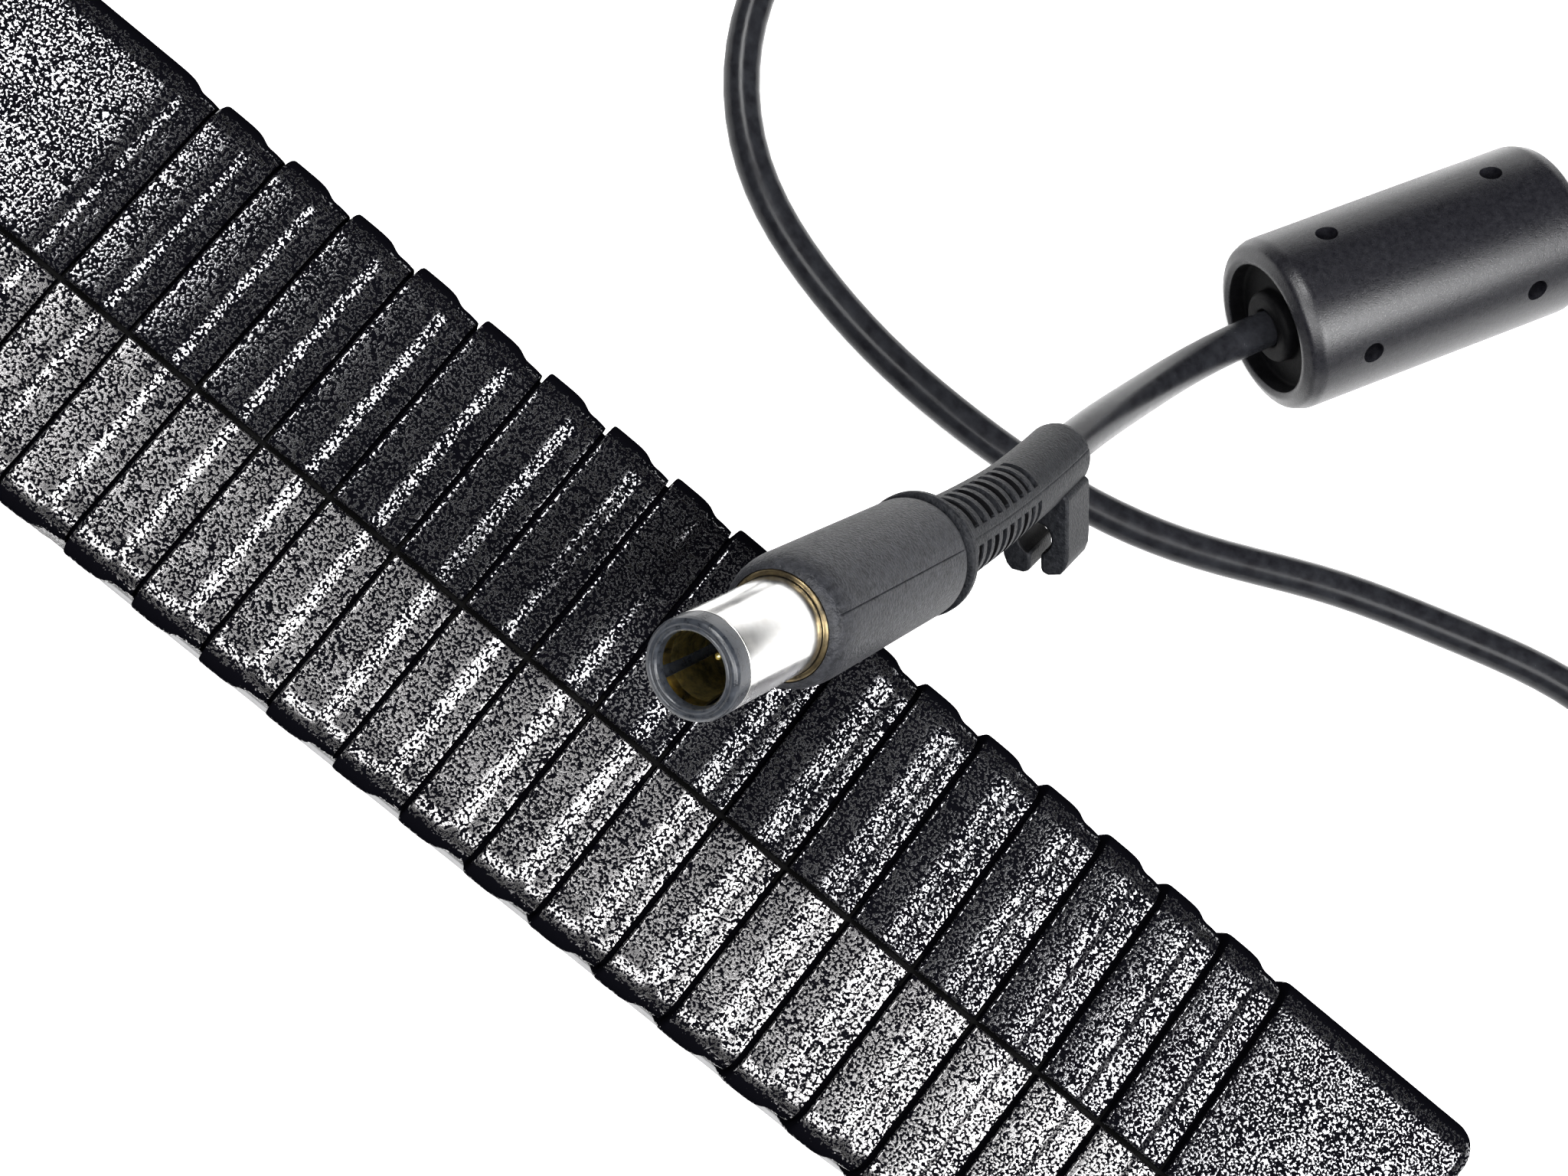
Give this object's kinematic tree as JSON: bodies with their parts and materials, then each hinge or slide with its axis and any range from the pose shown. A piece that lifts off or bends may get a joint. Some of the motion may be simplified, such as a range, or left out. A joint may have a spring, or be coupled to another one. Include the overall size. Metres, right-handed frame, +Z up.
{
  "type": "laptop power adapter",
  "caption": "Laptop power adapter: a ribbed case on its narrow side, its circuit inside, with a DC lead, ferrite and barrel plug.",
  "frame": {"origin": "centre of the case's footprint on the surface it stands on", "axes": "+X along the case from the mains inlet to the DC lead's gland, +Y across its thickness towards the deeper half, +Z up its standing width"},
  "size_m": [0.207, 0.1588, 0.0758],
  "materials": {
    "case_plastic": "coarse spark-eroded black",
    "cord_jacket": "satin black jacket",
    "soft_overmould": "matte dark grey",
    "black_plastic": "moulded",
    "nickel": "bright plated",
    "brass": "bright",
    "ferrite_ceramic": "sintered",
    "board_laminate": "solder-masked glass-fibre board",
    "insulating_film": "thin insulating sheet",
    "aluminium": "rolled",
    "copper_winding": "enamelled copper wire",
    "yellow_tape": "polyester tape",
    "capacitor_sleeve": "shrink sleeve",
    "component_resin": "moulded resin",
    "blue_resin": "dipped resin",
    "grey_box": "moulded",
    "label_film": "blank printed film",
    "tie_strap": "woven hook-and-loop",
    "brown_insulation": "insulation",
    "blue_insulation": "insulation",
    "green_insulation": "insulation",
    "red_insulation": "insulation"
  },
  "bodies": {
    "root": {"upper_shell": "case_plastic", "lower_shell": "case_plastic", "rating_label": "label_film", "inlet_housing": "black_plastic", "inlet_pin_earth": "nickel", "inlet_pin_line": "nickel", "inlet_pin_neutral": "nickel", "inlet_lead_earth": "green_insulation", "inlet_lead_line": "brown_insulation", "inlet_lead_neutral": "blue_insulation", "circuit_board": "board_laminate", "heat_spreader_lower": "aluminium", "heat_spreader_upper": "aluminium", "insulating_sheet_lower": "insulating_film", "insulating_sheet_upper": "insulating_film", "fuse": "brown_insulation", "inrush_thermistor": "component_resin", "x_capacitor": "grey_box", "y_capacitor_1": "blue_resin", "y_capacitor_2": "blue_resin", "bridge_rectifier": "component_resin", "bulk_capacitor": "capacitor_sleeve", "choke_core": "ferrite_ceramic", "choke_winding_a": "copper_winding", "choke_winding_b": "copper_winding", "primary_heat_sink": "aluminium", "primary_transistor": "component_resin", "controller_chip": "component_resin", "optocoupler": "component_resin", "secondary_heat_sink": "aluminium", "output_rectifier": "component_resin", "output_capacitor_1": "capacitor_sleeve", "output_capacitor_2": "capacitor_sleeve", "output_choke": "component_resin", "transformer_core_lower": "ferrite_ceramic", "transformer_core_upper": "ferrite_ceramic", "transformer_winding": "yellow_tape", "transformer_base": "component_resin", "output_lead_positive": "red_insulation", "output_lead_return": "component_resin", "dc_gland": "soft_overmould", "cord_to_coil": "cord_jacket", "cord_coil": "cord_jacket", "coil_tie": "tie_strap", "cord_to_plug": "cord_jacket", "ferrite_cover": "soft_overmould", "ferrite_core": "ferrite_ceramic", "strain_relief": "soft_overmould", "cable_clip": "soft_overmould", "plug_grip": "soft_overmould", "plug_barrel": "nickel", "plug_base_ring": "brass", "plug_liner": "black_plastic", "plug_contact_sleeve": "brass", "plug_pin_base": "black_plastic", "plug_centre_pin": "brass"}
  },
  "joints": []
}
